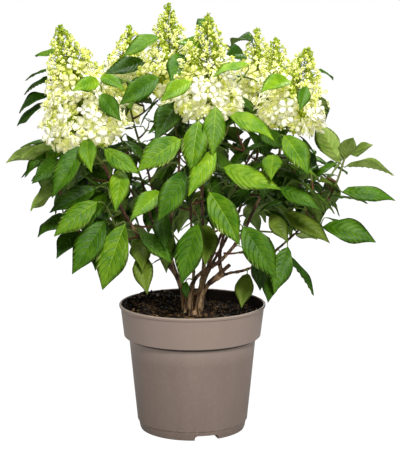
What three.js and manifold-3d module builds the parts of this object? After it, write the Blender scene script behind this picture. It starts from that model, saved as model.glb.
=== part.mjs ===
// Panicle hydrangea shrub standing in its nursery pot.
// Millimetres, +Z up, the origin at the middle of the pot's underside.
import * as THREE from 'three';
import { mergeVertices } from 'three/addons/utils/BufferGeometryUtils.js';
import Module from 'manifold-3d';

const wasm = await Module();
wasm.setup();

// ---------------------------------------------------------------- sizes

const clearance = 0.4;            // kept between solids that touch

const pot = {
  height: 200,
  rimRadius: 115,
  lipHeight: 5,
  lipWidth: 2.2,
  collarHeight: 50,
  collarFootRadius: 107.5,
  shoulder: 6,                    // height of the slanted step under the collar
  bodyTopRadius: 99.5,
  bodyFootRadius: 87,
  ledgeHeight: 15,
  footTopRadius: 85.5,
  footRadius: 83,
  edge: 2.5,                      // rounding where the wall meets the floor
  wall: 2.2,
  floor: 2.6,
  facets: 32,
};

const drains = {                  // arched channels under the pot's floor
  count: 3,
  firstAngle: -76,                // degrees round from +X
  width: 30,
  depth: 8,
  length: 54,
  holeWidth: 13,
  holesFrom: [48, 68],            // how far from the middle the holes lie
};

const soil = {
  level: 182,
  heap: 17,                       // height of the heap against the rear left wall
  heapAngle: 155,
  roughness: 2.2,
  cells: 10,
};

const stool = {                   // the woody foot that every stem rises from
  bottom: 182,
  height: 40,
  footRadius: 17,
  topRadius: 8.5,
  lean: [3, -3],
  lobes: 5,
};

const stemSides = 6;
const stemStep = 28;              // length of one facet along a stem

// Routes run from the foot to the point where the stem enters the leaves.
const stems = {
  stem_left: { route: [[-6, -2, 200], [-32, -10, 259], [-84, -20, 311], [-112, -26, 360], [-130, -35, 412]],
    from: 7.2, to: 3.8 },
  stem_middle_left: { route: [[-31, -10, 256], [-36, -5, 309], [-30, 0, 355], [-22, 10, 400]],
    from: 4.8, to: 3.2 },
  stem_middle: { route: [[7, 0, 205], [18, 0, 240], [17, -4, 300], [15, -25, 379]],
    from: 6, to: 3.6 },
  stem_right: { route: [[-2, -8, 205], [-2, -22, 243], [30, -32, 262], [66, -35, 298], [102, -38, 369], [118, -40, 405]],
    from: 5.6, to: 3.3 },
  stem_stub: { route: [[8, -8, 200], [27, -22, 239], [45, -28, 254], [58, -32, 267]],
    from: 6.4, to: 4.6 },
  stem_inner_right: { route: [[43, -28, 254], [43, -12, 288], [60, 8, 335], [92, 30, 399]],
    from: 4.2, to: 3 },
  stem_far_right: { route: [[47, -29, 253], [88, -30, 259], [140, -28, 298], [197, -18, 350]],
    from: 3.8, to: 2.6 },
  stem_rear_middle: { route: [[8, 6, 205], [24, 12, 255], [48, 32, 310], [72, 50, 385]],
    from: 4.8, to: 3 },
  stem_rear_left: { route: [[-10, 8, 205], [-28, 22, 250], [-48, 36, 310], [-67, 50, 388]],
    from: 4.8, to: 3 },
  stem_back_left: { route: [[-8, 12, 205], [-34, 52, 250], [-66, 92, 315], [-82, 116, 375]],
    from: 4.8, to: 3 },
  stem_back: { route: [[0, 12, 205], [2, 50, 245], [-2, 104, 305], [-6, 140, 375]],
    from: 4.8, to: 3 },
  stem_back_right: { route: [[6, 10, 205], [30, 48, 250], [66, 88, 310], [92, 114, 375]],
    from: 4.8, to: 3 },
};

// Each flower cone stands on its foot point and narrows to its tip.
const coneRings = 6;
const coneSides = 8;
const blooms = {
  bloom_left: { foot: [-154, -62, 458], tip: [-201, -36, 634], radius: 72 },
  bloom_front: { foot: [20, -72, 498], tip: [24, -50, 652], radius: 63 },
  bloom_right: { foot: [152, -46, 484], tip: [178, -14, 600], radius: 64 },
  bloom_top: { foot: [-40, 26, 524], tip: [-38, 40, 666], radius: 46 },
  bloom_rear_left: { foot: [-104, 104, 548], tip: [-100, 110, 630], radius: 42 },
  bloom_inner_right: { foot: [106, 74, 524], tip: [102, 90, 626], radius: 43 },
  bloom_rear_right: { foot: [142, 42, 526], tip: [130, 50, 613], radius: 36 },
  bloom_back_left: { foot: [-124, 170, 470], tip: [-138, 196, 580], radius: 50 },
  bloom_back: { foot: [-8, 196, 478], tip: [-12, 222, 596], radius: 54 },
  bloom_back_right: { foot: [112, 172, 472], tip: [124, 196, 584], radius: 50 },
};

// Leaf masses: middle, half sizes, and the leaf tips that stand out of each.
const massDetail = 2;
const lobeDepth = 0.2;
const masses = {
  leaves_front: { middle: [10, -128, 392], half: [78, 60, 112],
    tips: [[-17, -118, 250], [60, -205, 430], [-62, -165, 405]] },
  leaves_left_outer: { middle: [-212, -12, 428], half: [66, 84, 74],
    tips: [[-290, -10, 432], [-250, 40, 350], [-262, -30, 508]] },
  leaves_left_low: { middle: [-148, -74, 326], half: [76, 72, 76],
    tips: [[-243, -60, 305], [-182, -96, 256], [-134, -88, 234]] },
  leaves_left_top: { middle: [-212, 34, 530], half: [46, 60, 62],
    tips: [[-256, 20, 545], [-238, 10, 594]] },
  leaves_right_outer: { middle: [250, -8, 384], half: [56, 62, 68],
    tips: [[316, -10, 366], [314, 20, 404], [284, -40, 306], [283, 10, 451]] },
  leaves_right: { middle: [146, -66, 402], half: [74, 80, 76],
    tips: [[170, -160, 380]] },
  leaves_low_right: { middle: [98, -84, 288], half: [56, 60, 68],
    tips: [[75, -60, 207], [116, -80, 214]] },
  leaves_low_middle: { middle: [-48, -70, 292], half: [38, 44, 48],
    tips: [[-62, -84, 238]] },
  leaves_drop_right: { middle: [176, -22, 262], half: [22, 32, 36],
    tips: [[196, -24, 216]] },
  leaves_right_top: { middle: [176, 60, 500], half: [56, 74, 58],
    tips: [[214, 30, 536], [228, 100, 470]] },
  leaves_left_inner: { middle: [-84, 30, 498], half: [58, 74, 78],
    tips: [[-62, 92, 600]] },
  leaves_middle: { middle: [30, 36, 470], half: [84, 82, 84],
    tips: [[62, 60, 588]] },
  leaves_back_left: { middle: [-138, 132, 386], half: [88, 84, 98],
    tips: [[-240, 150, 360], [-150, 226, 330], [-196, 190, 440]] },
  leaves_back_right: { middle: [138, 130, 386], half: [88, 84, 98],
    tips: [[240, 150, 350], [150, 228, 330], [206, 190, 440]] },
  leaves_back: { middle: [0, 176, 380], half: [72, 74, 104],
    tips: [[10, 262, 350], [-40, 250, 430], [20, 214, 268]] },
};

// ------------------------------------------------------------- finishes

const finishes = {
  pot: { color: 0x8d7c71, roughness: 0.55, metalness: 0 },
  soil: { color: 0x2a1e17, roughness: 1, metalness: 0 },
  bark: { color: 0x5d3b2b, roughness: 0.8, metalness: 0 },
  leaves: { color: 0x4f8f24, roughness: 0.5, metalness: 0 },
  blossom: { color: 0xe9edc4, roughness: 0.7, metalness: 0 },
};

// ---------------------------------------------------- solids and chance

// Numbers from 0 to 1 that come out the same on every run.
function makeChance(seed) {
  let state = seed;
  return () => {
    state = (state + 0x6d2b79f5) | 0;
    let mixed = Math.imul(state ^ (state >>> 15), 1 | state);
    mixed = (mixed + Math.imul(mixed ^ (mixed >>> 7), 61 | mixed)) ^ mixed;
    return ((mixed ^ (mixed >>> 14)) >>> 0) / 4294967296;
  };
}

function signedVolume(positions, index) {
  const [a, b, c] = [new THREE.Vector3(), new THREE.Vector3(), new THREE.Vector3()];
  let volume = 0;
  for (let i = 0; i < index.length; i += 3) {
    a.fromArray(positions, 3 * index[i]);
    b.fromArray(positions, 3 * index[i + 1]);
    c.fromArray(positions, 3 * index[i + 2]);
    volume += a.dot(b.cross(c)) / 6;
  }
  return volume;
}

// A closed geometry as a solid, without the flat triangles at its poles.
function toSolid(geometry) {
  const bare = geometry.clone();
  bare.deleteAttribute('normal');
  bare.deleteAttribute('uv');
  const merged = mergeVertices(bare, 1e-3);
  const positions = merged.attributes.position.array;
  const index = [];
  for (let i = 0; i < merged.index.count; i += 3) {
    const [a, b, c] = merged.index.array.slice(i, i + 3);
    if (a !== b && b !== c && c !== a) index.push(a, b, c);
  }
  if (signedVolume(positions, index) < 0) index.reverse();
  const mesh = new wasm.Mesh({ numProp: 3, vertProperties: positions, triVerts: new Uint32Array(index) });
  return new wasm.Manifold(mesh);
}

function toGeometry(solid) {
  const mesh = solid.getMesh();
  const geometry = new THREE.BufferGeometry();
  geometry.setAttribute('position', new THREE.BufferAttribute(mesh.vertProperties.slice(), 3));
  geometry.setIndex(new THREE.BufferAttribute(mesh.triVerts.slice(), 1));
  geometry.computeVertexNormals();
  return geometry;
}

// The largest piece of a solid that a cut has parted.
function largest(solid) {
  const pieces = solid.decompose();
  return pieces.reduce((best, piece) => (piece.volume() > best.volume() ? piece : best));
}

function addMesh(group, name, solid, finish) {
  const mesh = new THREE.Mesh(toGeometry(solid), new THREE.MeshStandardMaterial(finishes[finish]));
  mesh.name = name;
  group.add(mesh);
}

// ------------------------------------------------------------------ pot

function revolve(outline, facets) {
  const points = outline.map(([radius, z]) => new THREE.Vector2(radius, z));
  return toSolid(new THREE.LatheGeometry(points, facets).rotateX(Math.PI / 2));
}

// The pot's outer form drawn in by a distance and ended at a height.
function potForm(inset, floor, top) {
  const collarFoot = pot.height - pot.collarHeight;
  return revolve([
    [0, floor],
    [pot.footRadius - pot.edge - inset, floor],
    [pot.footRadius - inset, floor + pot.edge],
    [pot.footTopRadius - inset, pot.ledgeHeight],
    [pot.bodyFootRadius - inset, pot.ledgeHeight + 1],
    [pot.bodyTopRadius - inset, collarFoot - pot.shoulder],
    [pot.collarFootRadius - inset, collarFoot],
    [pot.rimRadius - pot.lipWidth - inset, pot.height - pot.lipHeight],
    [pot.rimRadius - inset, pot.height - pot.lipHeight + 1],
    [pot.rimRadius - inset, top],
    [0, top],
  ], pot.facets);
}

// One arched channel and its hole, laid along +X and grown by a wall.
function drainChannel(grow) {
  const half = drains.width / 2 + grow;
  const arch = new THREE.Shape();
  arch.moveTo(-half - 3, -1);
  arch.lineTo(half + 3, -1);
  arch.lineTo(half - 3, drains.depth + grow - 1.5);
  arch.lineTo(half - 6, drains.depth + grow);
  arch.lineTo(-half + 6, drains.depth + grow);
  arch.lineTo(-half + 3, drains.depth + grow - 1.5);
  arch.closePath();
  const outer = pot.footRadius + pot.edge + 4;
  const length = drains.length + grow;
  const bar = new THREE.ExtrudeGeometry(arch, { depth: length, bevelEnabled: false });
  bar.rotateX(Math.PI / 2).rotateZ(Math.PI / 2).translate(outer - length, 0, 0);
  return toSolid(bar);
}

function drainHoles() {
  const holes = drains.holesFrom.map((reach) => {
    const hole = new THREE.CylinderGeometry(drains.holeWidth / 2, drains.holeWidth / 2, 30, 10);
    return toSolid(hole.rotateX(Math.PI / 2).translate(reach, 0, drains.depth));
  });
  return holes.reduce((all, hole) => all.add(hole));
}

function roundTheFoot(solid) {
  const copies = [];
  for (let i = 0; i < drains.count; i += 1) {
    copies.push(solid.rotate([0, 0, drains.firstAngle + (360 / drains.count) * i]));
  }
  return copies.reduce((all, copy) => all.add(copy));
}

// The hollow inside the pot, standing over the channels under its floor.
function potHollow(extra, top) {
  const inside = potForm(pot.wall + extra, pot.floor + extra, top);
  return inside.subtract(roundTheFoot(drainChannel(pot.wall + extra)));
}

function makePot() {
  const shell = potForm(0, 0, pot.height)
    .subtract(roundTheFoot(drainChannel(0)))
    .subtract(potHollow(0, pot.height + 1));
  return largest(shell.subtract(roundTheFoot(drainHoles())));
}

// ----------------------------------------------------------------- soil

function soilHeight(x, y) {
  const reach = Math.hypot(x, y) / pot.rimRadius;
  const turn = Math.atan2(y, x) - THREE.MathUtils.degToRad(soil.heapAngle);
  const heap = soil.heap * THREE.MathUtils.smoothstep(reach, 0.45, 0.95) * Math.max(0, Math.cos(turn)) ** 1.5;
  const rough = soil.roughness * Math.sin(x * 0.071 + 1.3) * Math.cos(y * 0.083 + 0.4);
  return soil.level + heap + rough * THREE.MathUtils.smoothstep(reach, 0.15, 0.4) + 0.6;
}

function makeSoil(cutters) {
  const width = 2.2 * pot.rimRadius;
  const depth = 240;
  const block = new THREE.BoxGeometry(width, width, depth, soil.cells, soil.cells, 1);
  const place = block.attributes.position;
  for (let i = 0; i < place.count; i += 1) {
    const isTop = place.getZ(i) > 0;
    place.setZ(i, isTop ? soilHeight(place.getX(i), place.getY(i)) : -10);
  }
  const ground = toSolid(block).intersect(potHollow(clearance, depth));
  return largest(ground.subtract(cutters));
}

// ---------------------------------------------------------------- stems

// A woody foot with root flare, cut flat where it meets the soil.
function makeStool(extra) {
  const shape = new THREE.CylinderGeometry(1, 1, 1, 12, 4);
  shape.rotateX(Math.PI / 2).translate(0, 0, 0.5);
  const place = shape.attributes.position;
  for (let i = 0; i < place.count; i += 1) {
    const t = place.getZ(i);
    const angle = Math.atan2(place.getY(i), place.getX(i));
    const flare = stool.topRadius + (stool.footRadius - stool.topRadius) * (1 - t) ** 2.2;
    const radius = flare * (1 + 0.13 * (1 - t) * Math.cos(stool.lobes * angle)) + extra;
    const span = Math.hypot(place.getX(i), place.getY(i));
    place.setXYZ(i,
      span * radius * Math.cos(angle) + stool.lean[0] * t,
      span * radius * Math.sin(angle) + stool.lean[1] * t,
      stool.bottom - extra + t * (stool.height + 2 * extra));
  }
  return toSolid(shape);
}

// A round bar that narrows from its foot to its tip along a curve.
function makeStem(stem, extra) {
  const curve = new THREE.CatmullRomCurve3(stem.route.map((p) => new THREE.Vector3(...p)));
  const steps = Math.max(4, Math.round(curve.getLength() / stemStep));
  const frames = curve.computeFrenetFrames(steps, false);
  const bar = new THREE.CylinderGeometry(1, 1, 1, stemSides, steps);
  bar.translate(0, 0.5, 0);
  const place = bar.attributes.position;
  for (let i = 0; i < place.count; i += 1) {
    const step = Math.round(place.getY(i) * steps);
    const radius = THREE.MathUtils.lerp(stem.from, stem.to, step / steps) + extra;
    const point = curve.getPointAt(step / steps);
    point.addScaledVector(frames.normals[step], place.getX(i) * radius);
    point.addScaledVector(frames.binormals[step], place.getZ(i) * radius);
    point.addScaledVector(frames.tangents[step], step === steps ? extra : 0);
    place.setXYZ(i, point.x, point.y, point.z);
  }
  return toSolid(bar);
}

// --------------------------------------------------------------- blooms

// How wide a flower cone is, from 0 at its foot to 1 at its tip.
function coneWidth(t) {
  const shoulder = Math.min(1, 0.35 + 4.5 * t);
  return shoulder * (1 - 0.94 * t ** 1.15);
}

function makeBloom(bloom, seed, extra) {
  const chance = makeChance(seed);
  const foot = new THREE.Vector3(...bloom.foot);
  const axis = new THREE.Vector3(...bloom.tip).sub(foot);
  const length = axis.length();
  const turn = new THREE.Quaternion().setFromUnitVectors(new THREE.Vector3(0, 0, 1), axis.normalize());
  const shape = new THREE.CylinderGeometry(1, 1, 1, coneSides, coneRings);
  shape.rotateX(Math.PI / 2).translate(0, 0, 0.5);
  const uneven = [];
  for (let i = 0; i < coneSides * (coneRings + 1); i += 1) uneven.push(1 + 0.16 * (chance() - 0.5));
  const place = shape.attributes.position;
  const point = new THREE.Vector3();
  for (let i = 0; i < place.count; i += 1) {
    const t = place.getZ(i);
    const side = Math.round(Math.atan2(place.getY(i), place.getX(i)) / (2 * Math.PI) * coneSides + coneSides);
    const lump = uneven[(side % coneSides) + coneSides * Math.round(t * coneRings)];
    const radius = bloom.radius * coneWidth(t) * lump + extra;
    point.set(place.getX(i) * radius, place.getY(i) * radius, t * length + (2 * t - 1) * extra);
    point.applyQuaternion(turn).add(foot);
    place.setXYZ(i, point.x, point.y, point.z);
  }
  return toSolid(shape);
}

// --------------------------------------------------------------- leaves

// The corner of a ball that a leaf tip is drawn out from.
function nearestCorner(ball, half, tip) {
  const corners = ball.attributes.position;
  const corner = new THREE.Vector3();
  const best = { corner: new THREE.Vector3(), place: tip };
  const aim = tip.clone().divide(half).normalize();
  for (let i = 0; i < corners.count; i += 1) {
    corner.fromBufferAttribute(corners, i).normalize();
    if (corner.dot(aim) > best.corner.dot(aim)) best.corner.copy(corner);
  }
  return best;
}

// An uneven closed mass, lobed by chance and drawn out to its leaf tips.
function makeMass(mass, seed, extra) {
  const chance = makeChance(seed);
  const lobes = [];
  for (let i = 0; i < 9; i += 1) {
    const way = new THREE.Vector3(chance() - 0.5, chance() - 0.5, chance() - 0.5).normalize();
    lobes.push({ way, height: lobeDepth * (chance() < 0.6 ? 1 : -0.8) });
  }
  const middle = new THREE.Vector3(...mass.middle);
  const half = new THREE.Vector3(...mass.half);
  const shape = new THREE.IcosahedronGeometry(1, massDetail);
  const tips = mass.tips.map((p) => nearestCorner(shape, half, new THREE.Vector3(...p).sub(middle)));
  const place = shape.attributes.position;
  const way = new THREE.Vector3();
  const point = new THREE.Vector3();
  for (let i = 0; i < place.count; i += 1) {
    way.fromBufferAttribute(place, i).normalize();
    let swell = 1;
    for (const lobe of lobes) swell += lobe.height * Math.max(0, way.dot(lobe.way)) ** 7;
    point.copy(way).multiply(half).multiplyScalar(swell);
    for (const tip of tips) {
      if (way.distanceTo(tip.corner) < 0.01) point.copy(tip.place);
    }
    point.addScaledVector(way, extra).add(middle);
    place.setXYZ(i, point.x, point.y, point.z);
  }
  return toSolid(shape);
}

// ------------------------------------------------------------- assembly

const hydrangea = new THREE.Group();
const taken = [];                 // every placed solid, grown by the clearance

function place(name, solid, grown, finish) {
  const cut = taken.reduce((rest, cutter) => rest.subtract(cutter), solid);
  addMesh(hydrangea, name, largest(cut), finish);
  taken.push(grown);
}

addMesh(hydrangea, 'pot', makePot(), 'pot');
addMesh(hydrangea, 'soil', makeSoil(makeStool(clearance)), 'soil');
place('stool', makeStool(0), makeStool(clearance), 'bark');
for (const [name, stem] of Object.entries(stems)) {
  place(name, makeStem(stem, 0), makeStem(stem, clearance), 'bark');
}
let seed = 11;
for (const [name, bloom] of Object.entries(blooms)) {
  seed += 1;
  place(name, makeBloom(bloom, seed, 0), makeBloom(bloom, seed, clearance), 'blossom');
}
for (const [name, mass] of Object.entries(masses)) {
  seed += 1;
  place(name, makeMass(mass, seed, 0), makeMass(mass, seed, clearance), 'leaves');
}

export default hydrangea;
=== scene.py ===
import math
import random

import bpy
import numpy as np
from mathutils import Matrix, Vector, noise


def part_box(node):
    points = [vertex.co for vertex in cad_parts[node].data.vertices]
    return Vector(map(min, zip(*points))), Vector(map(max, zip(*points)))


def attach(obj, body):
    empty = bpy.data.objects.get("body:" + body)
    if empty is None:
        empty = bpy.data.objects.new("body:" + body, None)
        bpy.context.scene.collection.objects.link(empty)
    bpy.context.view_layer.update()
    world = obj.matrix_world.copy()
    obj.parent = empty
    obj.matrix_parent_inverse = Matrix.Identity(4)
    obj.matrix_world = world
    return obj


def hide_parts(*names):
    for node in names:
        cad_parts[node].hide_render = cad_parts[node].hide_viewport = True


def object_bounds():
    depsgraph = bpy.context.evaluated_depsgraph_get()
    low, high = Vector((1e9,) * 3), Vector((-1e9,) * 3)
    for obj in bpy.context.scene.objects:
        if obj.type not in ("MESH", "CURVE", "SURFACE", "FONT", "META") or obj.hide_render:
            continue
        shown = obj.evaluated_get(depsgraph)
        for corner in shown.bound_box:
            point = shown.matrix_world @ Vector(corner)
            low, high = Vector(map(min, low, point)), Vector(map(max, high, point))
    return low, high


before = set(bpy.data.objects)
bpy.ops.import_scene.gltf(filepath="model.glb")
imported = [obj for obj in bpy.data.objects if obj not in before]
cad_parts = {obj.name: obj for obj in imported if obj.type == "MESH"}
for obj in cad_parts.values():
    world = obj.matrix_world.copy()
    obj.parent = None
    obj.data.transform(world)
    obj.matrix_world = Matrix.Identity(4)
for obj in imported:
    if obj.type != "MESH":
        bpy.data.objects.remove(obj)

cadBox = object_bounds()
mm = 0.001
lineGap = 5.0             # between the points of a limb's line, in millimetres
goldenTurn = 2.39996      # radians from one floret to the next


# camera, light and floor

studio = {
    "cameraAt": (0.012, -2.3, 0.699), "lookDown": 9.3, "lens": 119.0,
    "whiteSeen": 1.0, "whiteCast": 0.19,
    "floorSize": 14.0, "floorGlow": 0.08, "floorSeen": 1.05,
}

lamps = [       # place, aim, size across, power in watts
    ((0.55, -2.3, 2.2), (0.0, 0.0, 0.35), 0.8, 73),
    ((-0.9, -2.0, 1.0), (0.0, 0.0, 0.30), 0.9, 1.5),
    ((-0.1, 0.2, 2.4), (0.0, 0.0, 0.40), 1.0, 32),
    ((0.2, 2.4, 1.6), (0.0, 0.0, 0.35), 1.2, 26),
]


def selectOnly(*things):
    bpy.ops.object.select_all(action="DESELECT")
    for thing in things:
        thing.select_set(True)
    bpy.context.view_layer.objects.active = things[0]


def makeCamera():
    bpy.ops.object.camera_add(location=studio["cameraAt"],
                              rotation=(math.radians(90 - studio["lookDown"]), 0, 0))
    camera = bpy.context.object
    camera.data.lens = studio["lens"]
    camera.data.clip_start = 0.05
    bpy.context.scene.camera = camera


def makeLamps():
    for place, aim, size, power in lamps:
        bpy.ops.object.light_add(type="AREA", location=place)
        lamp = bpy.context.object
        lamp.data.shape = "DISK"
        lamp.data.size = size
        lamp.data.energy = power
        lamp.rotation_euler = (Vector(aim) - Vector(place)).to_track_quat("-Z", "Y").to_euler()


def makeWorld():
    world = bpy.data.worlds.new("studioWhite")
    bpy.context.scene.world = world
    world.use_nodes = True
    nodes, links = world.node_tree.nodes, world.node_tree.links
    nodes.clear()
    cast = nodes.new("ShaderNodeBackground")
    seen = nodes.new("ShaderNodeBackground")
    cast.inputs["Strength"].default_value = studio["whiteCast"]
    seen.inputs["Strength"].default_value = studio["whiteSeen"]
    for shade in (cast, seen):
        shade.inputs["Color"].default_value = (1, 1, 1, 1)
    rays = nodes.new("ShaderNodeLightPath")
    mix = nodes.new("ShaderNodeMixShader")
    out = nodes.new("ShaderNodeOutputWorld")
    links.new(rays.outputs["Is Camera Ray"], mix.inputs[0])
    links.new(cast.outputs[0], mix.inputs[1])
    links.new(seen.outputs[0], mix.inputs[2])
    links.new(mix.outputs[0], out.inputs[0])
    bpy.context.scene.view_settings.view_transform = "Standard"


# shader writing: a socket that takes part in sums

class Socket:
    def __init__(self, shader, link):
        self.shader = shader
        self.link = link

    def sum(self, operation, first, second):
        return self.shader.node("ShaderNodeMath", {"operation": operation}, {0: first, 1: second})

    def __add__(self, other):
        return self.sum("ADD", self, other)

    def __radd__(self, other):
        return self.sum("ADD", other, self)

    def __sub__(self, other):
        return self.sum("SUBTRACT", self, other)

    def __rsub__(self, other):
        return self.sum("SUBTRACT", other, self)

    def __mul__(self, other):
        return self.sum("MULTIPLY", self, other)

    def __rmul__(self, other):
        return self.sum("MULTIPLY", other, self)


class Shader:
    def __init__(self, name, **fixed):
        self.material = bpy.data.materials.new(name)
        self.material.use_nodes = True
        self.tree = self.material.node_tree
        self.main = self.tree.nodes["Principled BSDF"]
        for socketName, value in fixed.items():
            self.put(socketName.replace("_", " "), value)

    def node(self, kind, settings=None, inputs=None, output=0):
        made = self.tree.nodes.new(kind)
        for key, value in (settings or {}).items():
            setattr(made, key, value)
        for key, value in (inputs or {}).items():
            self.feed(made.inputs[key], value)
        return Socket(self, made.outputs[output])

    def feed(self, socket, value):
        if isinstance(value, Socket):
            self.tree.links.new(value.link, socket)
        else:
            socket.default_value = value

    def put(self, name, value):
        if isinstance(value, tuple):
            value = (*value[:3], 1)
        self.feed(self.main.inputs[name], value)

    def place(self, stretch=(1, 1, 1)):
        where = self.node("ShaderNodeTexCoord", output="Object")
        return self.node("ShaderNodeMapping", {}, {"Vector": where, "Scale": stretch})

    def height(self, low, high):
        where = self.node("ShaderNodeSeparateXYZ", {}, {0: self.place()}, output=2)
        return self.level(where, low, high)

    def noise(self, scale, detail=3.0, rough=0.55, stretch=(1, 1, 1)):
        return self.node("ShaderNodeTexNoise", {}, {"Vector": self.place(stretch), "Scale": scale,
                                                    "Detail": detail, "Roughness": rough})

    def level(self, value, low, high):
        return self.node("ShaderNodeMapRange", {}, {0: value, 1: low, 2: high, 3: 0.0, 4: 1.0})

    def mix(self, amount, first, second):
        settings = {"data_type": "RGBA"}
        first, second = (tone if isinstance(tone, Socket) else (*tone[:3], 1) for tone in (first, second))
        return self.node("ShaderNodeMix", settings, {0: amount, 6: first, 7: second}, output=2)

    def bump(self, height, strength, distance):
        inputs = {"Strength": strength, "Distance": distance, "Height": height}
        self.put("Normal", self.node("ShaderNodeBump", {}, inputs))


def tone(red, green, blue):
    # a screen colour from 0 to 255 as the light it gives
    parts = (red, green, blue)
    return tuple(((part / 255 + 0.055) / 1.055) ** 2.4 if part > 10 else part / 3294 for part in parts)


def makeFloor():
    bpy.ops.mesh.primitive_plane_add(size=studio["floorSize"], location=(0, 0, cadBox[0][2]))
    floor = bpy.context.object
    floor.name = "paleFloor"
    paint = Shader("paleFloor", Base_Color=(0.5, 0.5, 0.5), Roughness=0.9, Emission_Color=(1, 1, 1),
                   Emission_Strength=studio["floorGlow"])
    rays = paint.node("ShaderNodeLightPath")
    glow = paint.node("ShaderNodeEmission", {}, {"Strength": studio["floorSeen"]})
    ends = {0: rays, 1: Socket(paint, paint.main.outputs[0]), 2: glow}
    seen = paint.node("ShaderNodeMixShader", {}, ends)
    paint.feed(paint.tree.nodes["Material Output"].inputs["Surface"], seen)
    floor.data.materials.append(paint.material)


# finishes

# leaf greens from light to dark: the leaves' own tones differ, and the lighter and darker ones also stand
# for lit and shaded leaves, painted light and shade
leafTones = {
    "bright": ((92, 142, 10), (144, 182, 28)), "fresh": ((74, 122, 6), (116, 156, 20)),
    "mid": ((54, 100, 4), (86, 130, 14)), "deep": ((40, 78, 4), (64, 104, 12)),
    "dark": ((28, 58, 2), (46, 80, 8)), "olive": ((84, 108, 20), (118, 138, 46)),
    "pale": ((134, 158, 60), (180, 198, 110)),
}
underTones = {"paleUnder": ((120, 150, 52), (160, 182, 92)), "dullUnder": ((84, 116, 28), (118, 146, 56))}
veinTones = {"vein": (144, 178, 44), "veinDeep": (84, 122, 22)}
petalTones = {
    "white": ((255, 254, 230), (255, 255, 248)), "cream": ((243, 243, 164), (252, 251, 204)),
    "lime": ((202, 212, 88), (224, 230, 126)), "bud": ((148, 168, 44), (180, 194, 70)),
    "budYoung": ((116, 146, 24), (150, 174, 44)),
}


def leafFinish(name, tones, roughness=0.44):
    skin = Shader(name, Roughness=roughness, Specular_IOR_Level=0.24)
    patches = skin.noise(46.0, 3.0)
    fine = skin.noise(900.0, 2.0)
    pucker = skin.noise(230.0, 2.0)
    skin.put("Base Color", skin.mix(skin.level(patches, 0.34, 0.66), tone(*tones[0]), tone(*tones[1])))
    skin.put("Roughness", fine * 0.16 + (roughness - 0.08))
    skin.bump(pucker + fine * 0.2, 0.5, 0.0016)
    return skin.material


def petalFinish(name, tones):
    skin = Shader(name, Roughness=0.6, Specular_IOR_Level=0.2, Emission_Strength=0.2)
    patches = skin.noise(70.0, 2.0)
    skin.put("Base Color", skin.mix(skin.level(patches, 0.3, 0.7), tone(*tones[0]), tone(*tones[1])))
    red, green, blue = tones[0]
    skin.put("Emission Color", tone(red, green, blue * 2 // 3))      # painted light: the petals glow faintly, standing in for light through the thin petals
    skin.bump(skin.noise(1400.0, 2.0), 0.15, 0.0003)
    return skin.material


def potFinish():
    skin = Shader("taupePlastic", Roughness=0.5, Specular_IOR_Level=0.4)
    streaks = skin.noise(34.0, 4.0, 0.6, (1, 1, 0.12))
    cloud = skin.noise(9.0, 3.0)
    dust = skin.level(skin.noise(160.0, 5.0, 0.7), 0.50, 0.75)
    body = skin.mix(skin.level(streaks, 0.3, 0.7), tone(127, 109, 99), tone(138, 120, 109))
    body = skin.mix(skin.level(cloud, 0.3, 0.75) * 0.5, body, tone(142, 124, 113))
    body = skin.mix(skin.height(0.148, 0.151) * 0.55, body, tone(166, 146, 134))      # painted highlight: the collar is painted paler, as it is lit more than the body
    scuffsAndPaintedLight = skin.height(0.1180, 0.1440) * (1 - skin.height(0.1450, 0.1454))       # paler band under the collar: scuffs, and painted light that lifts the collar's cast shadow
    body = skin.mix(scuffsAndPaintedLight * 0.42, body, tone(178, 159, 147))
    paintedShadeGroove = skin.height(0.1450, 0.1458) * (1 - skin.height(0.1497, 0.1501))       # painted shadow: a dark line in the corner under the collar
    body = skin.mix(paintedShadeGroove * 0.94, body, tone(44, 35, 30))
    ledge = skin.height(0.0120, 0.0140) * (1 - skin.height(0.0162, 0.0175)) * dust
    # the rim's top edge is painted paler, a painted highlight; the foot ledge gets paler patches
    paintedRimHighlightAndPaleLedge = skin.height(0.1982, 0.1992) * 0.5 + ledge * 0.5
    body = skin.mix(paintedRimHighlightAndPaleLedge, body, tone(202, 184, 166))
    skin.put("Base Color", skin.mix(dust * 0.22, body, tone(170, 154, 142)))
    skin.put("Roughness", streaks * 0.14 + dust * 0.12 + 0.40)
    skin.bump(skin.noise(260.0, 3.0, 0.5, (1, 1, 0.2)), 0.16, 0.0004)
    return skin.material


def soilFinish(name, dark, light, scale=120.0):
    skin = Shader(name, Roughness=0.95, Specular_IOR_Level=0.25)
    grain = skin.noise(scale, 6.0, 0.7)
    skin.put("Base Color", skin.mix(skin.level(grain, 0.35, 0.7), tone(*dark), tone(*light)))
    skin.put("Roughness", grain * 0.3 + 0.68)
    skin.bump(skin.noise(700.0, 4.0, 0.7), 0.7, 0.0012)
    return skin.material


def barkFinish(name, dark, light, peel, peelAmount=0.6):
    skin = Shader(name, Roughness=0.75)
    strips = skin.noise(190.0, 4.0, 0.6, (1, 1, 0.16))
    flakes = skin.level(skin.noise(95.0, 4.0, 0.65, (1, 1, 0.25)), 0.54, 0.66)
    wood = skin.mix(skin.level(strips, 0.36, 0.64), tone(*dark), tone(*light))
    old = 1 - skin.height(0.190, 0.262)      # the oldest bark, near the soil, peels the most
    flakes = flakes + old * skin.level(strips, 0.42, 0.54) * 1.1
    skin.put("Base Color", skin.mix(flakes * peelAmount, wood, tone(*peel)))
    skin.put("Roughness", strips * 0.2 + flakes * 0.1 + 0.58)
    skin.bump(strips + flakes * 0.6, 0.6, 0.0010)
    return skin.material


# joined meshes of many small things

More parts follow.
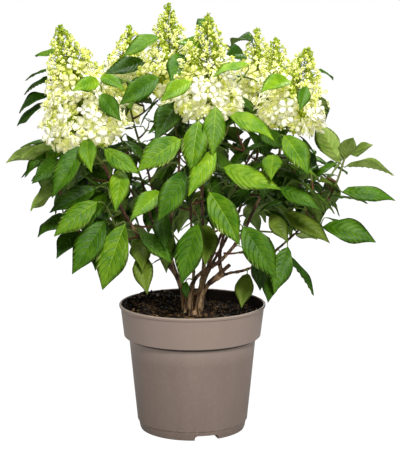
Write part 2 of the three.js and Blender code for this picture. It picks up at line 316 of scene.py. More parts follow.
class Heap:
    def __init__(self):
        self.points = []
        self.faces = []
        self.slots = []
        self.count = 0

    def add(self, points, faces, slots):
        start = self.count
        self.points.append(np.asarray(points))
        self.faces.extend([[corner + start for corner in face] for face in faces])
        self.slots.extend([slots] * len(faces) if isinstance(slots, int) else slots)
        self.count += len(points)

    def make(self, name, materials, smooth=True):
        mesh = bpy.data.meshes.new(name)
        mesh.from_pydata(np.concatenate(self.points), [], self.faces)
        for material in materials:
            mesh.materials.append(material)
        mesh.polygons.foreach_set("material_index", self.slots)
        mesh.polygons.foreach_set("use_smooth", [smooth] * len(self.faces))
        mesh.update()
        thing = bpy.data.objects.new(name, mesh)
        bpy.context.scene.collection.objects.link(thing)
        print("joined", name, sum(len(face) - 2 for face in self.faces), "triangles")
        return thing


def unit(vector):
    return vector / max(1e-9, float(np.linalg.norm(vector)))


def anyWay(chance, amount=1.0):
    return np.array([chance.gauss(0, amount) for _ in range(3)])


def square(vector, against):
    # a direction square to another one, as near as it can be to the first
    left = vector - against * float(np.dot(vector, against))
    if np.linalg.norm(left) < 1e-4:
        left = np.cross(against, np.array((0.31, 0.87, 0.39)))
    return unit(left)


def ringFaces(rings, sides):
    # the faces that join rings of points into a closed tube
    faces = []
    for ring in range(rings - 1):
        # the inner wall's dark finish stands for damp stains and for painted shade inside the pot
        for i in range(sides):
            j = (i + 1) % sides
            a, b = ring * sides, (ring + 1) * sides
            faces.append([a + i, a + j, b + j, b + i])
    faces.append(list(range(sides))[::-1])
    faces.append([(rings - 1) * sides + i for i in range(sides)])
    return faces


def tubeMesh(line, radii, sides):
    # a closed round tube along a line of points
    line = np.asarray(line, dtype=float)
    ways = np.gradient(line, axis=0)
    across = square(np.array((0.2, 1.0, 0.1)), unit(ways[0]))
    turns = np.linspace(0, 2 * math.pi, sides, endpoint=False)
    points = []
    for place, way, radius in zip(line, ways, radii):
        way = unit(way)
        across = square(across, way)
        other = np.cross(way, across)
        points.append(place + radius * (np.outer(np.cos(turns), across) + np.outer(np.sin(turns), other)))
    return np.concatenate(points), ringFaces(len(line), sides)


def bezier(a, b, c, d, steps):
    t = np.linspace(0, 1, steps)[:, None]
    return (1 - t) ** 3 * a + 3 * t * (1 - t) ** 2 * b + 3 * t * t * (1 - t) * c + t ** 3 * d


def resample(line, gap):
    line = np.asarray(line)
    reach = np.concatenate([[0], np.cumsum(np.linalg.norm(np.diff(line, axis=0), axis=1))])
    count = max(2, int(round(reach[-1] / gap)) + 1)
    wanted = np.linspace(0, reach[-1], count)
    return np.stack([np.interp(wanted, reach, line[:, k]) for k in range(3)], axis=1)


def smoothLine(line, rounds=3):
    # a rounder line through the same ends: corners are cut away, then the line is spaced evenly
    line = np.asarray(line)
    for _ in range(rounds):
        near = 0.75 * line[:-1] + 0.25 * line[1:]
        far = 0.25 * line[:-1] + 0.75 * line[1:]
        line = np.concatenate([[line[0]], np.stack([near, far], axis=1).reshape(-1, 3), [line[-1]]])
    return resample(line, lineGap * mm)


# pot

potForm = {
    "around": 144, "rim": 115.0, "lip": 5.0, "lipOut": 2.2, "collarFoot": 107.5, "collarTall": 50.0,
    "step": 6.0, "bodyTop": 99.5, "bodyFoot": 87.0, "ledge": 15.0, "footTop": 85.5, "foot": 83.0,
    "edge": 2.5, "wall": 2.2, "floor": 10.8,
    "drains": 3, "drainAngle": -74, "drainWide": 38.0, "drainTall": 8.0, "drainFrom": 35.0,
    "holes": (48.0, 68.0), "hole": 6.5,
}


def raiseTop(state, height, radius):
    # pulls the selected top up or down to a height, and widens or narrows it to a radius
    rise = (0, 0, (height - state["height"]) * mm)
    bpy.ops.mesh.extrude_region_move(TRANSFORM_OT_translate={"value": rise})
    grow = radius / state["radius"]
    bpy.ops.transform.resize(value=(grow, grow, 1), center_override=(0, 0, height * mm))
    state.update(height=height, radius=radius)


def cutAway(thing, cutter):
    cut = thing.modifiers.new("cut", "BOOLEAN")
    cut.object = cutter
    cut.solver = "EXACT"
    selectOnly(thing)
    bpy.ops.object.modifier_apply(modifier=cut.name)
    bpy.data.objects.remove(cutter)


def makeDrains(pot):
    form = potForm
    outer = form["foot"] + 10
    for k in range(form["drains"]):
        angle = math.radians(form["drainAngle"] + 360 / form["drains"] * k)
        way = Vector((math.cos(angle), math.sin(angle), 0))
        middle = way * ((outer + form["drainFrom"]) / 2 * mm)
        bpy.ops.mesh.primitive_cube_add(size=1, location=middle, rotation=(0, 0, angle))
        channel = bpy.context.object
        size = (outer - form["drainFrom"], form["drainWide"], 2 * form["drainTall"])
        channel.scale = [side * mm for side in size]
        bpy.ops.object.transform_apply(location=True, rotation=True, scale=True)
        bevel = channel.modifiers.new("round", "BEVEL")
        bevel.width = 5 * mm
        bevel.segments = 5
        bpy.ops.object.modifier_apply(modifier=bevel.name)
        cutAway(pot, channel)
        for reach in form["holes"]:
            bpy.ops.mesh.primitive_cylinder_add(vertices=28, radius=form["hole"] * mm, depth=0.05,
                                                location=way * (reach * mm))
            cutAway(pot, bpy.context.object)


def makePot(material, wallStainAndShade):
    form = potForm
    tall = (cadBox[0][2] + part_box("pot")[1][2]) / mm
    collarFoot = tall - form["collarTall"]
    state = {"height": 0.0, "radius": form["foot"] - form["edge"]}
    bpy.ops.object.select_all(action="DESELECT")
    bpy.ops.mesh.primitive_circle_add(vertices=form["around"], radius=state["radius"] * mm,
                                      fill_type="NGON")
    pot = bpy.context.object
    pot.name = "nurseryPot"
    bpy.ops.object.mode_set(mode="EDIT")
    bpy.ops.mesh.select_all(action="SELECT")
    outside = [
        (0.7, form["foot"] - 0.9), (form["edge"], form["foot"]),
        (form["ledge"] - 0.6, form["footTop"]), (form["ledge"] + 0.6, form["bodyFoot"]),
        (80.0, form["bodyFoot"] + (form["bodyTop"] - form["bodyFoot"]) * 0.51),
        (collarFoot - form["step"], form["bodyTop"]), (collarFoot - 1.0, form["bodyTop"] + 0.4),
        (collarFoot - 0.7, form["collarFoot"] - 1.0), (collarFoot + 0.3, form["collarFoot"]),
        (tall - form["lip"] - 0.5, form["rim"] - form["lipOut"]),
        (tall - form["lip"] + 0.9, form["rim"] - 0.35), (tall - form["lip"] + 2.0, form["rim"]),
        (tall - 0.9, form["rim"]), (tall, form["rim"] - 0.8),
    ]
    inside = [
        (tall, form["rim"] - 3.0), (tall - 1.2, form["rim"] - 3.6),
        (tall - form["lip"] - 2, form["rim"] - form["lipOut"] - form["wall"]),
        (collarFoot + 2.0, form["collarFoot"] - form["wall"]),
        (collarFoot + 1.4, form["bodyTop"] - form["wall"]),
        (form["floor"], form["bodyFoot"] - form["wall"] - 1),
    ]
    for height, radius in outside + inside:
        raiseTop(state, height, radius)
    bpy.ops.mesh.select_all(action="SELECT")
    bpy.ops.mesh.normals_make_consistent(inside=False)
    bpy.ops.object.mode_set(mode="OBJECT")
    makeDrains(pot)
    selectOnly(pot)
    bpy.ops.object.shade_smooth_by_angle(angle=math.radians(32))
    pot.data.materials.append(material)
    pot.data.materials.append(wallStainAndShade)
    for face in pot.data.polygons:       # inside, the wall above the soil is darkened: damp stains, and painted shade in the pot's hollow
        inward = face.normal.dot(Vector((face.center.x, face.center.y, 0)).normalized()) < -0.5
        if inward and (collarFoot + 1.5) * mm < face.center.z < (tall - 1.5) * mm:
            face.material_index = 1
    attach(pot, "root")
    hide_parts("pot")
    print("pot", len(pot.data.polygons), "faces")


# soil

soilForm = {
    "level": 183.0, "heap": 18.0, "heapAngle": 155.0, "rings": 34, "around": 132, "edge": 108.4,
    "bottom": 11.0, "lumps": 4.4, "grains": 1.8, "chips": 640, "crumbs": 900, "fibres": 130,
}


def soilHeight(x, y):
    # x, y and the result in millimetres
    form = soilForm
    reach = math.hypot(x, y) / form["edge"]
    turn = math.atan2(y, x) - math.radians(form["heapAngle"])
    ramp = min(1.0, max(0.0, (reach - 0.45) / 0.5))
    heap = form["heap"] * ramp * ramp * (3 - 2 * ramp) * max(0.0, math.cos(turn)) ** 1.5
    lumps = form["lumps"] * noise.fractal(Vector((x, y, 7)) * 0.045, 1.0, 2.0, 3)
    grains = form["grains"] * noise.fractal(Vector((x, y, 31)) * 0.22, 1.0, 2.0, 3)
    return form["level"] + heap + lumps + grains


def makeSoilBed(material):
    form = soilForm
    state = {"height": form["bottom"], "radius": potForm["bodyFoot"] - 3.0}
    bpy.ops.object.select_all(action="DESELECT")
    bpy.ops.mesh.primitive_circle_add(vertices=form["around"], radius=state["radius"] * mm,
                                      fill_type="NGON", location=(0, 0, state["height"] * mm))
    bed = bpy.context.object
    bed.name = "soilBed"
    bpy.ops.object.transform_apply(location=True, rotation=True, scale=True)
    bpy.ops.object.mode_set(mode="EDIT")
    bpy.ops.mesh.select_all(action="SELECT")
    raiseTop(state, 151.6, potForm["bodyTop"] - 1.8)
    raiseTop(state, 152.4, potForm["collarFoot"] - 1.8)
    raiseTop(state, form["level"], form["edge"])
    for k in range(1, form["rings"]):
        raiseTop(state, form["level"] + 0.01 * k, form["edge"] * (1 - k / form["rings"]))
    bpy.ops.mesh.poke()
    bpy.ops.object.mode_set(mode="OBJECT")
    for vertex in bed.data.vertices:
        if vertex.co.z > (form["level"] - 1) * mm:
            vertex.co.z = soilHeight(vertex.co.x / mm, vertex.co.y / mm) * mm
    selectOnly(bed)
    bpy.ops.object.shade_smooth()
    bed.data.materials.append(material)
    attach(bed, "root")
    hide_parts("soil")


def soilSpot(chance, most=0.97):
    reach = soilForm["edge"] * most * math.sqrt(chance.uniform(0.02, 1))
    turn = chance.uniform(0, 2 * math.pi)
    x, y = reach * math.cos(turn), reach * math.sin(turn)
    return np.array((x, y, soilHeight(x, y)))


chipCorners = np.array([(-1, -1, -1), (1, -1, -1), (1, 1, -1), (-1, 1, -1),
                        (-1, -1, 1), (1, -1, 1), (1, 1, 1), (-1, 1, 1)], dtype=float)
chipFaces = [[0, 3, 2, 1], [4, 5, 6, 7], [0, 1, 5, 4], [1, 2, 6, 5], [2, 3, 7, 6], [3, 0, 4, 7]]


def makeSoilLitter(materials):
    # bark chips, crumbs and fibres that lie on the soil
    chance = random.Random(5)
    heap = Heap()
    for k in range(soilForm["chips"] + soilForm["crumbs"]):
        isChip = k < soilForm["chips"]
        spot = soilSpot(chance)
        if isChip:
            half = np.array((chance.uniform(1.6, 6.2), chance.uniform(0.9, 2.6), chance.uniform(0.4, 1.3)))
            slot = chance.choices((0, 1, 2, 3), (4, 4, 2, 1))[0]
        else:
            half = np.array([chance.uniform(0.6, 1.9) for _ in range(3)])
            slot = chance.choices((0, 1, 2), (6, 3, 1))[0]
        taper = chance.uniform(0.45, 0.95)
        shape = chipCorners * half
        shape[:, 1:] *= np.where(shape[:, :1] > 0, taper, 1)
        shape += np.array([[chance.uniform(-0.22, 0.22) for _ in range(3)] for _ in range(8)]) * half
        turn = Matrix.Rotation(chance.uniform(0, 6.28), 3, "Z")
        turn = turn @ Matrix.Rotation(chance.gauss(0, 0.4), 3, "Y")
        turn = turn @ Matrix.Rotation(chance.gauss(0, 0.5), 3, "X")
        place = shape @ np.array(turn).T + spot + np.array((0, 0, half[2] * chance.uniform(-0.2, 0.9)))
        inside = 108.0 - half[0]
        reach = np.linalg.norm(place[:, :2], axis=1)
        place[:, :2] *= np.minimum(1, inside / np.maximum(reach, 1))[:, None]
        heap.add(place * mm, chipFaces, slot)
    for k in range(soilForm["fibres"]):
        spot = soilSpot(chance, 0.88)
        length = chance.uniform(8, 30)
        turn = chance.uniform(0, 6.28)
        bend = chance.uniform(-0.9, 0.9)
        line = []
        for step in range(6):
            t = step / 5 - 0.5
            x = spot[0] + length * t * math.cos(turn + bend * t)
            y = spot[1] + length * t * math.sin(turn + bend * t)
            line.append((x, y, soilHeight(x, y) + 0.9 + 1.5 * (1 - 4 * t * t)))
        points, faces = tubeMesh(np.array(line), [0.35] * 6, 4)
        heap.add(points * mm, faces, chance.choice((2, 3, 3)))
    litter = heap.make("soilLitter", materials, smooth=False)
    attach(litter, "root")


# woody stems, read from the frame

woodForm = {
    "feet": {"stem_left": (-13, -4), "stem_right": (-3, -12), "stem_middle": (6, 1), "stem_stub": (11, -9),
             "stem_rear_left": (-14, 12), "stem_rear_middle": (12, 14), "stem_back_left": (-10, 24),
             "stem_back": (1, 26), "stem_back_right": (13, 25)},
    "soil": 181.0, "slim": 0.72, "slimTo": 60.0, "thin": 0.64, "voxel": 1.1,
    "knotGap": 34.0, "knot": 1.22, "relief": 0.55, "clusterReach": 16.0,
}


def nodePoints(name):
    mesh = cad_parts[name].data
    flat = np.empty(3 * len(mesh.vertices))
    mesh.vertices.foreach_get("co", flat)
    return np.unique(flat.reshape(-1, 3).round(6), axis=0)


def readLimb(name):
    # the middle line and radii of a limb, from its foot to its tip; read from the tip down
    foot = np.array((0, 0, 0.19))
    line, radii = [], []
    left = nodePoints(name)
    while len(left) > 3:
        away = np.linalg.norm(left - (line[-1] if line else foot), axis=1)
        far = left[np.argmin(away) if line else np.argmax(away)]
        near = np.linalg.norm(left - far, axis=1) < woodForm["clusterReach"] * mm
        ring = left[near]
        left = left[~near]
        if len(ring) < 5:
            continue
        middle = (ring.min(axis=0) + ring.max(axis=0)) / 2
        line.append(middle)
        radii.append(float(np.median(np.linalg.norm(ring - middle, axis=1))))
    return np.array(line[::-1]), np.array(radii[::-1])


def growWood():
    # every limb's smooth line, its foot joined to the wood it springs from
    stool = (np.array(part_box("stool")[0]) + np.array(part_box("stool")[1])) / 2
    limbs = {}
    known = [np.array([(stool[0], stool[1], 0.190), (stool[0] + 0.002, stool[1] - 0.002, 0.214)])]
    for name in (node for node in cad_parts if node.startswith("stem_")):
        line, radii = readLimb(name)
        if name in woodForm["feet"]:       # a main stem, from its own foot in the soil
            start = np.array((*woodForm["feet"][name], woodForm["soil"])) * mm
            line, radii = line[1:], radii[1:]
            flare = 1.0
        else:
            allKnown = np.concatenate([resample(one, 3 * mm) for one in known])
            start = allKnown[np.argmin(np.linalg.norm(allKnown - line[0], axis=1))]
            flare = 1.15
        line = np.concatenate([[start], line])
        radii = np.concatenate([[radii[0] * flare], radii])
        smooth = smoothLine(line)
        reach = np.linspace(0, 1, len(smooth))
        radii = woodForm["thin"] * np.interp(reach, np.linspace(0, 1, len(radii)), radii)
        if name in woodForm["feet"]:
            along = np.arange(len(smooth)) * lineGap
            radii *= np.interp(along, (0, woodForm["slimTo"]), (woodForm["slim"], 1))
        limbs[name] = (smooth, radii)
        known.append(smooth)
    return limbs


def makeStemWood(limbs, material):
    heap = Heap()
    for name, (line, radii) in limbs.items():
        chance = random.Random(name)
        swell = np.ones(len(line))
        reach = np.arange(len(line)) * lineGap
        for knot in np.arange(chance.uniform(8, 24), reach[-1], woodForm["knotGap"]):
            swell += (woodForm["knot"] - 1) * np.exp(-((reach - knot) / 3.6) ** 2)
        points, faces = tubeMesh(line, radii * swell, 12)
        heap.add(points, faces, 0)
    stoolPoints, stoolFaces = makeStool()
    heap.add(stoolPoints, stoolFaces, 0)
    wood = heap.make("woodyStems", [material])
    selectOnly(wood)
    remesh = wood.modifiers.new("grow together", "REMESH")
    remesh.mode = "VOXEL"
    remesh.voxel_size = woodForm["voxel"] * mm
    remesh.use_smooth_shade = True
    bpy.ops.object.modifier_apply(modifier=remesh.name)
    soften = wood.modifiers.new("soften", "SMOOTH")
    soften.factor = 0.5
    soften.iterations = 3
    bpy.ops.object.modifier_apply(modifier=soften.name)
    mesh = wood.data
    normals = [vertex.normal.copy() for vertex in mesh.vertices]
    for vertex, normal in zip(mesh.vertices, normals):
        where = Vector((vertex.co.x * 330, vertex.co.y * 330, vertex.co.z * 60))
        relief = noise.fractal(where, 1.0, 2.0, 3)
        vertex.co += normal * (relief * woodForm["relief"] * mm)
    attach(wood, "root")
    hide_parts("stool", *limbs)
    print("stem wood", len(mesh.polygons), "faces")


def makeStool():
    # the flared foot, with five lobes round it
    low, high = (np.array(corner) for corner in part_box("stool"))
    middle = (low + high) / 2
    rings, sides = 10, 30
    points = []
    for ring in range(rings):
        t = ring / (rings - 1)
        radius = ((high[0] - low[0]) / 2) * (0.24 + 0.54 * (1 - t) ** 2.0)
        for side in range(sides):
            turn = 2 * math.pi * side / sides
            lobe = 1 + 0.13 * (1 - t) * math.cos(5 * turn + 0.6)
            points.append((middle[0] + radius * lobe * math.cos(turn),
                           middle[1] + radius * lobe * math.sin(turn),
                           low[2] + (high[2] - low[2]) * 0.14 * t))
    return np.array(points), ringFaces(rings, sides)


# leaves

leafForm = {
    "arch": 0.40, "midrib": 0.026, "lastRow": 0.94, "tooth": 0.006, "quilt": 1.8, "thick": 0.55,
    "widthOfLength": 0.228, "panel": (0.0, 0.2, 0.6),
}


def leafWidth(u):
    body = math.sin(math.pi * min(1.0, max(0.0, u)) ** 0.88) ** 0.86
    ease = min(1.0, max(0.0, (u - 0.60) / 0.40))
    return body * (1 - 0.40 * ease * ease * (3 - 2 * ease))


def leafTemplate(pairs, columns):
    # a closed thin blade: rows run from the midrib forward to the edge, as the side veins do
    form = leafForm
    rows = 3 * pairs + 1
    across = [-c for c in columns[::-1]] + list(columns)
    half = len(columns)
    along, side, lift, under = [], [], [], []
    top, low = [], []
    for layer in (0, 1):
        for row in range(rows):
            # a narrow groove, then the panel
            u0 = form["lastRow"] * (row // 3 + form["panel"][row % 3]) / pairs
            shift = form["arch"] * (1 - u0) ** 0.7
            tooth = form["tooth"] * (1, -1, 0.6)[row % 3]
            edge = leafWidth(u0 + shift) * (1 + tooth)
            places = []
            for k, c in enumerate(across):
                isEdge = abs(c) == 1.0 or row == 0
                if layer == 1 and isEdge:
                    places.append(top[row][k])
                    continue
                sign = -1 if k < half else 1
                reach = abs(c) ** 0.82 * edge
                if c == 0:
                    reach = form["midrib"] * (1 - 0.6 * u0)
                along.append(u0 + shift * abs(c) ** 1.35)
                side.append(sign * reach)
                panel = max(0.0, 1 - (c / 0.86) ** 2) if row % 3 else 0.0
                lift.append(panel * (1 - 0.5 * u0) - (0.6 if c == 0 else 0.0))
                under.append((1 - c * c) if layer else 0.0)
                places.append(len(along) - 1)
            (low if layer else top).append(places)
    along.append(1.0)
    side.append(0.0)
    lift.append(0.0)
    under.append(0.0)
    tip = len(along) - 1
    faces, kinds = [], []
    for layer, grid in ((0, top), (1, low)):
        for row in range(rows - 1):
            for k in range(len(across) - 1):
                face = [grid[row][k], grid[row][k + 1], grid[row + 1][k + 1], grid[row + 1][k]]
                faces.append(face[::-1] if layer == 0 else face)
                # the rising strip beside each side vein takes a darker tone: painted shade in the vein
                # groove
                isPaintedShadeStrip = layer == 0 and row % 3 == 0 and k != half - 1
                kinds.append(4 if isPaintedShadeStrip else 2 * layer + (k == half - 1))
        for k in range(len(across) - 1):
            face = [grid[-1][k], grid[-1][k + 1], tip]
            faces.append(face[::-1] if layer == 0 else face)
            kinds.append(2 * layer + (k == half - 1))
    return {"along": np.array(along), "side": np.array(side), "lift": np.array(lift),
            "under": np.array(under), "faces": faces, "kinds": kinds}


fineBlade = leafTemplate(8, (0.0, 0.34, 0.70, 1.0))      # for the leaves in front
plainBlade = leafTemplate(5, (0.0, 0.5, 1.0))            # for all the others
paintedGrooveShades = {"bright": "fresh", "fresh": "mid", "mid": "deep", "deep": "dark"}      # the next darker tone along the side veins: painted shade in their grooves
leafSlots = [*leafTones, *underTones, *veinTones]


def layLeaf(base, tip, facing, shade, chance, blade):
    # one blade as points, and the finish of each of its faces
    along = tip - base
    length = float(np.linalg.norm(along))
    way = along / length
    normal = square(facing, way)
    across = np.cross(way, normal)
    width = leafForm["widthOfLength"] * length * chance.uniform(0.92, 1.12)
    bow = chance.uniform(0.08, 0.19)
    fold = math.tan(math.radians(chance.uniform(12, 36)))
    curl = chance.uniform(0.10, 0.45)
    wave, phase = chance.uniform(0.06, 0.20), chance.uniform(0, 6.28)
    twist = chance.uniform(-0.55, 0.55)
    sickle = across * (length * chance.uniform(-0.07, 0.07))
    u = blade["along"][:, None]
    x = blade["side"][:, None] * width
    bend = (base + tip) / 2 + normal * (bow * length) + sickle
    ridge = (1 - u) ** 2 * base + 2 * u * (1 - u) * bend + u * u * tip
    run = 2 * (1 - u) * (bend - base) + 2 * u * (tip - bend)
    run /= np.linalg.norm(run, axis=1)[:, None]
    turn = twist * (u - 0.3)
    beside = np.cos(turn) * across + np.sin(turn) * normal
    up = np.cross(beside, run)
    up /= np.linalg.norm(up, axis=1)[:, None]
    rise = np.abs(x) * fold - curl * x * x / width
    rise += wave * width * np.sin(phase + 9.0 * u + (x > 0) * 1.3) * (x / width) ** 2
    rise += blade["lift"][:, None] * leafForm["quilt"] * length / 85
    rise -= blade["under"][:, None] * leafForm["thick"] * mm
    underShade = leafSlots.index("paleUnder" if shade in ("bright", "fresh", "pale") else "dullUnder")
    topVein = leafSlots.index("vein" if shade in ("bright", "fresh", "pale") else "veinDeep")
    paintedShadeGroove = leafSlots.index(paintedGrooveShades.get(shade, shade))
    kindSlots = (leafSlots.index(shade), topVein, underShade, leafSlots.index("vein"), paintedShadeGroove)
    return ridge + beside * x + up * rise, [kindSlots[kind] for kind in blade["kinds"]]


def addStalk(heap, start, base, leafWay, thin=1.0, behind=0.0):
    # a leaf stalk from the wood to the foot of the blade, which it may reach from behind
    gap = float(np.linalg.norm(base - start))
    lift = np.array((0, 0, min(0.28 * gap, 9 * mm)))
    back = np.array((0, behind * gap, -0.3 * behind * gap))
    near = base - leafWay * min(gap * 0.25, 12 * mm) + lift * 0.4 + back
    line = bezier(start, start + (base - start) * 0.35 + lift, near, base + leafWay * 3 * mm, 7)
    thick = 1.1 + min(1.0, max(0.0, gap / mm - 30) / 60)
    points, faces = tubeMesh(line, np.linspace(thick, 0.75, 7) * mm * thin, 5)
    heap.add(points, faces, 0)


# The front leaves that give the plant its face: foot and tip in millimetres, and a shade.
placedLeaves = {
    "front": [
        ((35, -135, 520), (30, -160, 450), "fresh"), ((10, -140, 500), (0, -165, 425), "fresh"),
        ((35, -150, 460), (-5, -185, 395), "bright"), ((-15, -115, 470), (-80, -140, 425), "fresh"),
        ((-10, -130, 425), (-50, -160, 355), "mid"), ((-45, -100, 390), (-90, -150, 355), "fresh"),
        ((-20, -40, 520), (-55, -95, 465), "deep"), ((-50, -20, 555), (-110, -50, 515), "mid"),
        ((55, -115, 505), (120, -140, 470), "bright"), ((25, -130, 395), (70, -160, 320), "fresh"),
        ((45, -125, 430), (130, -150, 400), "bright"), ((75, -110, 340), (125, -135, 265), "mid"),
        ((10, -110, 345), (-15, -125, 255), "mid"), ((20, -60, 335), (20, -110, 280), "olive"),
        ((-45, -40, 350), (-40, -90, 300), "deep"), ((-10, -36, 242), (-9, -48, 217), "mid"),
    ],
    "right": [
        ((135, -105, 475), (170, -140, 420), "fresh"), ((120, -100, 445), (115, -160, 415), "fresh"),
        ((130, -90, 395), (190, -120, 365), "mid"),
        ((235, 5, 425), (245, -40, 465), "pale"), ((245, 10, 435), (285, 40, 445), "pale"),
        ((230, 10, 420), (190, 0, 485), "pale"), ((230, 20, 425), (205, 30, 470), "pale"),
        ((120, -50, 350), (145, -80, 310), "olive"), ((165, 0, 310), (200, 60, 290), "pale"),
        ((146, -58, 300), (124, -84, 232), "mid"),
        ((120, -45, 255), (115, -80, 217), "deep"), ((85, -40, 255), (75, -75, 208), "olive"),
        ((105, -40, 475), (145, -80, 450), "deep"),
    ],
    "left": [
        ((-160, -110, 460), (-205, -135, 385), "mid"), ((-155, -100, 470), (-145, -150, 425), "fresh"),
        ((-130, -105, 455), (-75, -130, 420), "fresh"), ((-105, -100, 425), (-112, -140, 365), "bright"),
        ((-140, -95, 375), (-205, -115, 325), "fresh"), ((-130, -80, 345), (-180, -100, 265), "mid"),
        ((-100, -85, 340), (-135, -95, 240), "fresh"), ((-145, -50, 315), (-145, -100, 270), "deep"),
        ((-80, -60, 320), (-30, -95, 280), "mid"), ((-78, -45, 288), (-67, -90, 232), "olive"),
        ((-200, -40, 430), (-240, -85, 400), "deep"),
        ((-205, -20, 385), (-245, -65, 355), "pale"), ((-145, -60, 390), (-215, -80, 355), "deep"),
        ((-195, -20, 345), (-235, -65, 315), "deep"), ((-175, -30, 325), (-205, -80, 285), "deep"),
    ],
    "top": [
        ((-75, 60, 575), (-138, 30, 555), "deep"),
        ((-20, 0, 605), (15, -60, 600), "fresh"),
        ((30, 0, 620), (8, 45, 642), "mid"), ((-15, -20, 590), (-32, -80, 550), "mid"),
        ((0, -120, 555), (-45, -150, 528), "bright"),
        ((80, 30, 585), (48, -30, 585), "deep"),
        ((145, -60, 553), (100, -115, 538), "bright"), ((170, -80, 545), (158, -115, 512), "mid"),
        ((-135, -115, 555), (-172, -150, 543), "bright"), ((-135, -70, 560), (-98, -110, 540), "fresh"),
        ((-135, -90, 535), (-103, -120, 497), "mid"),
    ],
    "lying": [
        ((230, -20, 379), (312, -35, 367), "mid"), ((200, -30, 326), (282, -45, 304), "mid"),
        ((235, 0, 415), (315, 10, 400), "pale"), ((-220, -20, 445), (-288, -10, 422), "pale"),
        ((-195, -40, 450), (-260, -55, 435), "pale"), ((-205, -20, 590), (-245, 30, 585), "fresh"),
        ((-215, 0, 549), (-264, 40, 523), "deep"), ((-220, 0, 524), (-272, 40, 494), "deep"),
        ((-225, 10, 512), (-276, 40, 474), "deep"), ((95, 70, 605), (62, 120, 597), "deep"),
        ((35, 0, 605), (66, 50, 590), "mid"), ((195, 30, 560), (222, 60, 545), "mid"),
        ((-50, 20, 615), (-105, -10, 585), "fresh"), ((85, -105, 578), (30, -130, 562), "bright"),
        ((225, 0, 375), (190, -60, 400), "olive"), ((140, -40, 350), (210, -60, 305), "olive"),
        ((-85, -20, 305), (-75, -80, 265), "olive"),
    ],
    "edgeOn": [
        ((136, -20, 285), (188, -40, 219), "deep"), ((166, 20, 462), (192, -5, 428), "deep"),
        ((-22, 20, 422), (-68, 0, 384), "deep"), ((-50, 40, 518), (-82, 20, 474), "deep"),
    ],
}

growth = {
    "seed": 23, "stemGap": 44.0, "firstLeaf": 290.0, "stalk": (9, 18), "leaf": (64, 92),
    "twigGap": 34.0, "twigsPerLitre": 6.5, "quietFront": -70.0, "lowest": 212.0, "lowTwig": 298.0,
    "farTwig": 92.0, "wideTwig": 200.0, "clear": 13.0, "apart": 9.0,
    "seenFrom": 0.164, "nearRim": 0.13, "overRim": 0.222, "spread": (1.02, 1.30),
}
openings = [        # where the sky shows between the leaves: middle and half width, across and up
    ((50, 266), (40, 40)), ((-84, 476), (17, 18)), ((-160, 256), (16, 22)), ((-102, 266), (14, 18)),
    ((-98, 250), (30, 26)), ((30, 400), (10, 12)), ((214, 464), (14, 16)), ((214, 552), (22, 22)),
    ((268, 340), (30, 12)), ((-225, 258), (44, 34)), ((210, 240), (50, 26)), ((-262, 365), (24, 22)),
]
shootTips = {       # the flower cone that each stem carries
    "stem_left": "bloom_left", "stem_middle_left": "bloom_top", "stem_middle": "bloom_front",
    "stem_right": "bloom_right", "stem_inner_right": "bloom_inner_right",
    "stem_rear_middle": "bloom_rear_right", "stem_rear_left": "bloom_rear_left",
    "stem_back_left": "bloom_back_left", "stem_back": "bloom_back", "stem_back_right": "bloom_back_right",
}
leaning = {         # feet of the cones moved across, and how much wider each is
    "bloom_left": (15, 0.98), "bloom_right": (-15, 0.92), "bloom_top": (7, 1.18),
}
leafyTip = {"stem": "stem_far_right", "mass": "leaves_right_outer", "part": (0.36, 0.5, 0.86)}


def readBloom(name):
    # foot, tip and widest radius of a flower cone
    points = nodePoints(name)
    tip = points[points[:, 2] > points[:, 2].max() - 2 * mm].mean(axis=0)
    axis = unit(tip - points[points[:, 2] < points[:, 2].min() + 40 * mm].mean(axis=0))
    deep = (tip - points) @ axis
    foot = tip - axis * float(deep.max())
    spread = np.linalg.norm((points - tip) - np.outer((points - tip) @ axis, axis), axis=1)
    shift, wider = leaning.get(name, (0, 1))
    return foot + np.array((shift, 0, 0)) * mm, tip, float(np.percentile(spread, 96)) * wider


def growShoots(limbs, blooms):
    # green shoots that lead each stem on to its flower cone, or to its last leaves
    shoots = {}
    for name, (line, radii) in limbs.items():
        start, way = line[-1], unit(line[-1] - line[-4])
        if name in shootTips:
            foot, tip, _ = blooms[shootTips[name]]
            end, endWay = foot, unit(tip - foot)
        elif name == leafyTip["stem"]:
            low, high = (np.array(corner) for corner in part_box(leafyTip["mass"]))
            end = low + (high - low) * np.array(leafyTip["part"])
            endWay = np.array((0.3, 0, 0.95))
        else:
            continue
        gap = float(np.linalg.norm(end - start))
        curve = bezier(start - way * 4 * mm, start + way * gap * 0.35, end - endWay * gap * 0.35, end, 24)
        shoots[name] = (resample(curve, lineGap * mm), float(radii[-1]))
    return shoots


def growTwigs(woodPoints, masses, chance):
    # twigs from the nearest wood into each leaf mass
    twigs = []
    for name in masses:
        low, high = (np.array(corner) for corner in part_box(name))
        middle, half = (low + high) / 2, (high - low) / 2
        litres = 4.19 * float(np.prod(half)) * 1000
        for _ in range(max(2, int(round(litres * growth["twigsPerLitre"])))):
            way = unit(anyWay(chance))
            end = middle + way * half * chance.uniform(0.35, 0.85)
            end[1] = max(end[1], growth["quietFront"] * mm)
            end[2] = max(end[2], growth["lowTwig"] * mm)
            end[0] = min(growth["wideTwig"] * mm, max(-growth["wideTwig"] * mm, end[0]))
            below = woodPoints[(woodPoints[:, 2] < end[2] - 8 * mm) & (woodPoints[:, 2] > 235 * mm)]
            if len(below) == 0:
                continue
            start = below[np.argmin(np.linalg.norm((below - end) * np.array((1, 1, 0.8)), axis=1))]
            gap = float(np.linalg.norm(end - start))
            if gap > growth["farTwig"] * mm:
                continue
            rise = np.array((0, 0, 0.10 * gap))
            across = end - start
            line = bezier(start, start + across * 0.35 - rise, end - across * 0.3 - rise, end, 14)
            twigs.append(resample(line, lineGap * mm))
            woodPoints = np.concatenate([woodPoints, twigs[-1][2:]])
    return twigs


